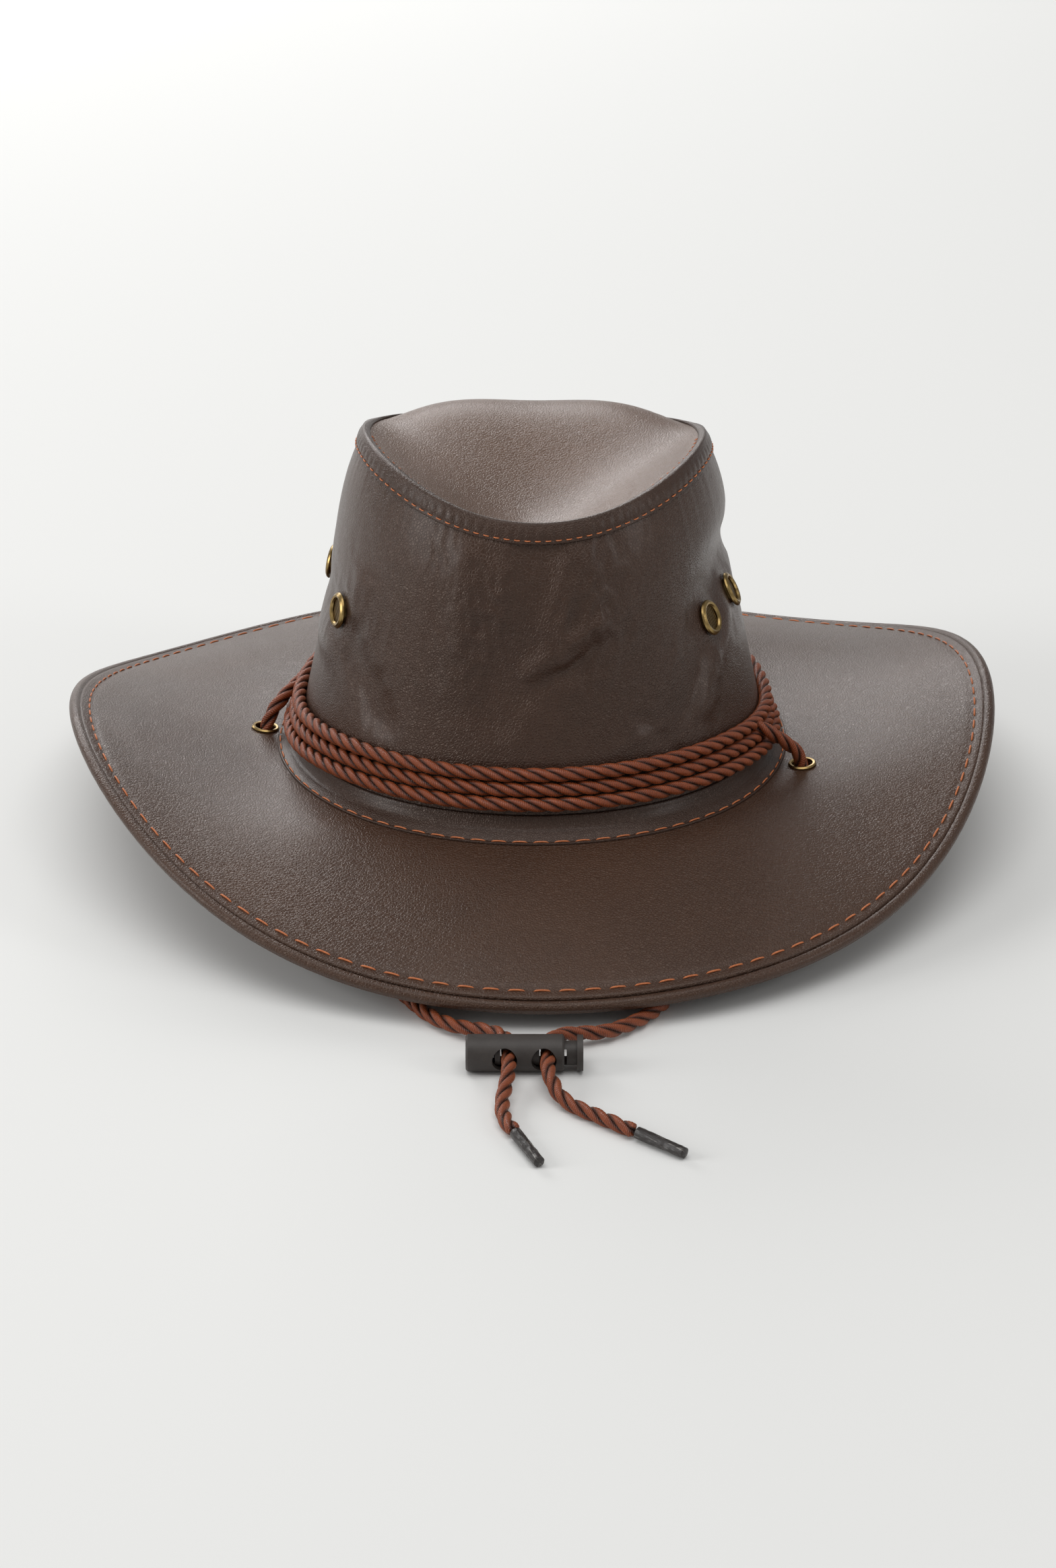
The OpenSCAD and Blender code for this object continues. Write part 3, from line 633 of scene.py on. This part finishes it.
def hole_through(piece):
    """Cuts the brim's two cord holes."""
    for a, u in eyelet_spots:
        at = brim_point(a, u, 0)
        bm = bmesh.new()
        bm.from_mesh(piece.data)
        near = [f for f in bm.faces
                if (f.calc_center_median().xy - at.xy / 1000).length < eyelet_clear / 1000]
        bmesh.ops.delete(bm, geom=near, context="FACES")
        rims = [e for e in bm.edges if len(e.link_faces) == 1
                and (e.verts[0].co.xy - at.xy / 1000).length < 0.009]
        bmesh.ops.bridge_loops(bm, edges=rims)
        bmesh.ops.recalc_face_normals(bm, faces=bm.faces)
        bm.to_mesh(piece.data)
        bm.free()


for name, node, low, high, finish, slot, sewn in (
        ("brim_top_leather", "brim_upper", 0.6, 1.7, brim_leather, "leatherette", True),
        ("brim_foam_sheet", "brim_core", -0.55, 0.55, foam, "brim_foam", False),
        ("brim_under_leather", "brim_under", -1.7, -0.6, brim_leather, "leatherette", False)):
    bm = bmesh.new()
    ring_of(bm, brim_sheet(low, high, sewn), 400, 56 if sewn else 40, (880, 190))
    hole_through(made_up(name, bm, finish, slot, "hat", node))

# Rolled edge
# A strip of the dark leatherette folded round the edge wire. It is drawn tight, so it
# shows a shallow groove along its outer side.
def roll_place(u, v):
    a, b = 360 * u, 360 * v
    q, p = edge_point(a), base_point(a, -3.6)
    n = Vector((q.x - p.x, q.y - p.y, 0)).normalized()
    r = 2.3 - 0.28 * bell(((b + 180) % 360 - 180 + 28) / 14)
    r += 0.06 * noise.noise(Vector((a * 0.9, 3 * c(b), 3 * s(b))))
    return q + n * r * c(b) + up * r * s(b)


bm = bmesh.new()
bend(bm, roll_place, 700, 32, (1170, 14.5))
made_up("edge_roll", bm, brim_leather, "leatherette", "hat", "brim_binding")

# Collar
# A flared strip of leatherette that turns up from the brim against the crown's wall, sewn
# to the brim along its outer edge.
def collar_place(u, v):
    a = 360 * u
    end = share_at(a, 7.2)
    soft = 0.25 * noise.noise(Vector((a * 0.08, 0, 2)))
    top = half_brim
    return around_loop([
        brim_point(a, end, top + 0.05), brim_point(a, end * 1.003, top + 0.5),
        brim_point(a, end * 0.992, top + 0.85), brim_point(a, share_at(a, 6.2), top + 0.75),
        brim_point(a, share_at(a, 5.2), top + 1.2 + soft), wall_point(a, 2.6, 2.5 + soft),
        wall_point(a, 4.6, 1.5), wall_point(a, 6.6, 1.15), wall_point(a, 7, 0.9),
        wall_point(a, 7, 0.1), wall_point(a, 2.4, 0.2),
        brim_point(a, share_at(a, 2.6), top + 0.05)], v)


bm = bmesh.new()
bend(bm, collar_place, 420, 36, (620, 26))
made_up("base_collar", bm, trim_leather, "leatherette", "hat", "crown_collar")

# Lining and sweatband
# Inside, a plain woven polyester lining hangs from the top seam, and a band of soft tape,
# 30 mm deep, is sewn round the opening to take the wearer's brow.
def woven(name, dark, light, thread_mm, rough):
    """Plain weave: crossed ridges a thread apart, matt, with slightly uneven threads."""
    finish, shader = new_finish(name, Roughness=rough, Sheen_Weight=0.15)
    lie = add(finish, "ShaderNodeTexCoord").outputs["UV"]
    warp = add(finish, "ShaderNodeTexWave", {"bands_direction": "X"}, Vector=lie,
               Scale=314 / thread_mm, Distortion=0.4)
    weft = add(finish, "ShaderNodeTexWave", {"bands_direction": "Y"}, Vector=lie,
               Scale=314 / thread_mm, Distortion=0.4)
    cross = add(finish, "ShaderNodeMath", {"operation": "MAXIMUM"}, _0=warp.outputs["Fac"],
                _1=weft.outputs["Fac"])
    hue = add(finish, "ShaderNodeMix", {"data_type": "RGBA"}, Factor=cross.outputs[0],
              _6=linear(dark), _7=linear(light))
    join(finish, hue.outputs[2], shader, "Base Color")
    bump = add(finish, "ShaderNodeBump", Height=cross.outputs[0], Strength=0.5,
               Distance=0.0002)
    join(finish, bump.outputs[0], shader, "Normal")
    return finish


lining_cloth = woven("plain_woven_polyester", "#1C1817", "#39312E", 0.8, 0.7)
tape_cloth = woven("ribbed_cotton_tape", "#1A1310", "#3A2C25", 1.2, 0.8)


def lining_place(a, v, inner):
    h = wall_foot + (rim_z(a) - base_z(a) - 5.5 - wall_foot) * v
    slack = 0.35 * noise.noise(Vector((5 * c(a), 5 * s(a), v * 4)))
    return wall_point(a, h, -3.35 + slack - (0.4 if inner else 0))


bm = bmesh.new()
ring_of(bm, lining_place, 240, 40, (520, 210))
made_up("lining_wall", bm, lining_cloth, "lining_cloth", "hat", "lining_side")
bm = bmesh.new()
ring_of(bm, lambda a, r, under: tip_point(a, 0.95 * r, -3.25 - (0.45 if under else 0)
                                          + 0.2 * r * noise.noise(Vector((a * 0.1, r * 3, 0)))),
        160, 20, (430, 140))
made_up("lining_top", bm, lining_cloth, "lining_cloth", "hat", "lining_tip")


def tape_place(u, v):
    a = 360 * u
    out = -3.8
    sink = 0.15 * math.sin(math.pi * u * 180)
    low = Vector((0, 0, -3.3))
    return around_loop([
        base_point(a, out) + low, wall_point(a, 8, out), wall_point(a, 16, out),
        wall_point(a, 24, out), wall_point(a, 29.8, out - 0.1), wall_point(a, 30, out - 0.6),
        wall_point(a, 29.8, out - 1.1), wall_point(a, 27.5, out - 1.05 + sink * 0.5),
        wall_point(a, 22, out - 1.2), wall_point(a, 14, out - 1.2), wall_point(a, 7, out - 1.2),
        base_point(a, out - 1.2) + low], v)


bm = bmesh.new()
bend(bm, tape_place, 360, 36, (560, 66))
made_up("sweatband_tape", bm, tape_cloth, "sweatband_cloth", "hat", "sweatband")

# Rope band
# Three turns of the same laid rope, wound round the foot of the crown. They nest a little,
# and dip at the sides and the back.
def band_line(n):
    rest, nest = (1.2, 0, 0)[n], (0, 0.45, 0.45)[n]
    line, sides = [], []
    for i in range(441):
        a = 360 * i / 440
        h = 12.3 + n * 5.35 - nest - 5 * c(a) ** 8 - 4 * max(0, s(a))
        line.append(wall_point(a, h, 2.8 + rest))
        sides.append(Vector((c(a) / base_a, s(a) / base_b, 0)).normalized())
    return line, sides


for n, name in enumerate(("low", "middle", "high")):
    bm = bmesh.new()
    line, sides = band_line(n)
    lay_rope(bm, line, sides, rope_radius, rope_lay, True)
    made_up("band_rope_" + name, bm, satin, "rope", "hat", "band_turn_" + name)

# Vents and eyelets
# Pressed brass, blackened and then wiped, left in random dark and bright patches. The vents have
# a ribbed gauze behind a rounded rim, and are clenched on washers inside.
def antique(name, dark, light, rough):
    finish, shader = new_finish(name, Metallic=1.0, Roughness=rough)
    at = add(finish, "ShaderNodeTexCoord").outputs["Object"]
    tarnish = add(finish, "ShaderNodeTexNoise", Vector=at, Scale=420.0, Detail=6.0,
                  Roughness=0.7)
    hue = add(finish, "ShaderNodeMix", {"data_type": "RGBA"}, Factor=tarnish.outputs["Fac"],
              _6=linear(dark), _7=linear(light))
    join(finish, hue.outputs[2], shader, "Base Color")
    bump = add(finish, "ShaderNodeBump", Height=tarnish.outputs["Fac"], Strength=0.25,
               Distance=0.0001)
    join(finish, bump.outputs[0], shader, "Normal")
    return finish


recoat(antique("wiped_antique_brass", "#54432A", "#C0A36A", 0.3), "vent_rims", "brim_eyelets",
       "brim_washers", "vent_washers")
recoat(antique("blackened_brass_gauze", "#3A2E1E", "#94794C", 0.42), "vent_meshes")

# Stitching
# Bonded polyester thread, orange brown. Each stitch is a short tight arc whose ends go down
# into their needle holes.
thread, shader = new_finish("bonded_polyester_thread", Roughness=0.55)
at = add(thread, "ShaderNodeTexCoord").outputs["Object"]
ply = add(thread, "ShaderNodeTexNoise", Vector=at, Scale=1400.0, Detail=2.0)
orange = add(thread, "ShaderNodeMix", {"data_type": "RGBA"}, Factor=ply.outputs["Fac"],
             _6=linear("#A04E28"), _7=linear("#D58450"))
join(thread, orange.outputs[2], shader, "Base Color")


def sew(name, at, count, filled, thick, proud, keep=lambda a: True):
    """A row of stitches along at(angle, raised), as small bent tubes."""
    bm = bmesh.new()
    for k in range(count):
        a0, a1 = 360 * k / count, 360 * (k + filled) / count
        if not keep(a0):
            continue
        jog = 0.12 * noise.noise(Vector((k * 1.7, 0, 0)))

        def stitch(u, v):
            a = a0 + (a1 - a0) * u
            arch = math.sin(math.pi * u)
            p = at(a, proud * arch ** 0.5 - 0.25)
            way = (at(a + 0.2, 0) - at(a - 0.2, 0)).normalized()
            lift_way = (at(a, 1) - at(a, 0)).normalized()
            r = thick * min(1, 3 * arch)
            b = math.tau * v
            off = way.cross(lift_way).normalized()
            return p + off * (r * math.cos(b) + jog) + lift_way * r * math.sin(b)

        bend(bm, stitch, 6, 6, (5, 1))
    return made_up(name, bm, thread, "rope", "hat")


def brim_row(a, raised):
    return brim_point(a, 1 - stitch_in / span(a), half_brim - 0.35 + raised)


sew("brim_stitches", brim_row, 132, 0.76, 0.36, 0.6)


def collar_row(a, raised):
    return brim_point(a, share_at(a, 6.3), half_brim + 0.85 + raised)


sew("collar_stitches", collar_row, 84, 0.82, 0.28, 0.5)


def fold_row(a, raised):
    return below_rim(a, 4.9, 1.0 + raised)


sew("rim_stitches", fold_row, 112, 0.66, 0.24, 0.45)


def ditch_row(a, raised):
    return tip_point(a, 0.96 + 0.012 * math.sin(math.pi * a), 0.45 + raised)


sew("seam_stitches", ditch_row, 96, 0.55, 0.18, 0.25, lambda a: 185 < a < 355)


def tape_row(a, raised):
    return wall_point(a, 27.3, -5.1 - raised)


sew("tape_stitches", tape_row, 120, 0.6, 0.2, 0.3)

# Studio
# A pale paper floor, one large soft light overhead behind the hat and weaker fills, which
# leave the front of the crown dark and the tops pale.
bm = bmesh.new()
bmesh.ops.create_circle(bm, cap_ends=True, segments=64, radius=6)
mesh = bpy.data.meshes.new("floor")
bm.to_mesh(mesh)
bm.free()
floor = bpy.data.objects.new("floor", mesh)
bpy.context.scene.collection.objects.link(floor)
paper, shader = new_finish("matt_paper", Roughness=1.0)
shader.inputs["Base Color"].default_value = linear("#E6E6E4")
shader.inputs["Specular IOR Level"].default_value = 0.0
mesh.materials.append(paper)


def softbox(name, place, size, watts, colour="#FFFFFF"):
    lamp = bpy.data.lights.new(name, "AREA")
    lamp.shape = "RECTANGLE"
    lamp.size, lamp.size_y = size
    lamp.energy = watts
    lamp.color = linear(colour)[:3]
    box = bpy.data.objects.new(name, lamp)
    box.location = place
    aim = Vector((0, 0, 0.06)) - Vector(place)
    box.rotation_euler = aim.to_track_quat("-Z", "Y").to_euler()
    bpy.context.scene.collection.objects.link(box)


softbox("back_box", (-0.8, 1.9, 1.05), (2.0, 0.9), 27)
softbox("top_box", (0, -0.5, 2.6), (2.6, 2.2), 34)
softbox("left_fill", (-1.8, -0.5, 0.8), (0.7, 1.0), 14)
softbox("right_fill", (1.7, -0.7, 0.9), (0.4, 0.9), 5)
world = bpy.data.worlds.new("studio")
world.use_nodes = True
world.node_tree.nodes["Background"].inputs[0].default_value = linear("#FFFFFF")
world.node_tree.nodes["Background"].inputs[1].default_value = 0.3
bpy.context.scene.world = world
bpy.context.scene.view_settings.view_transform = "Standard"
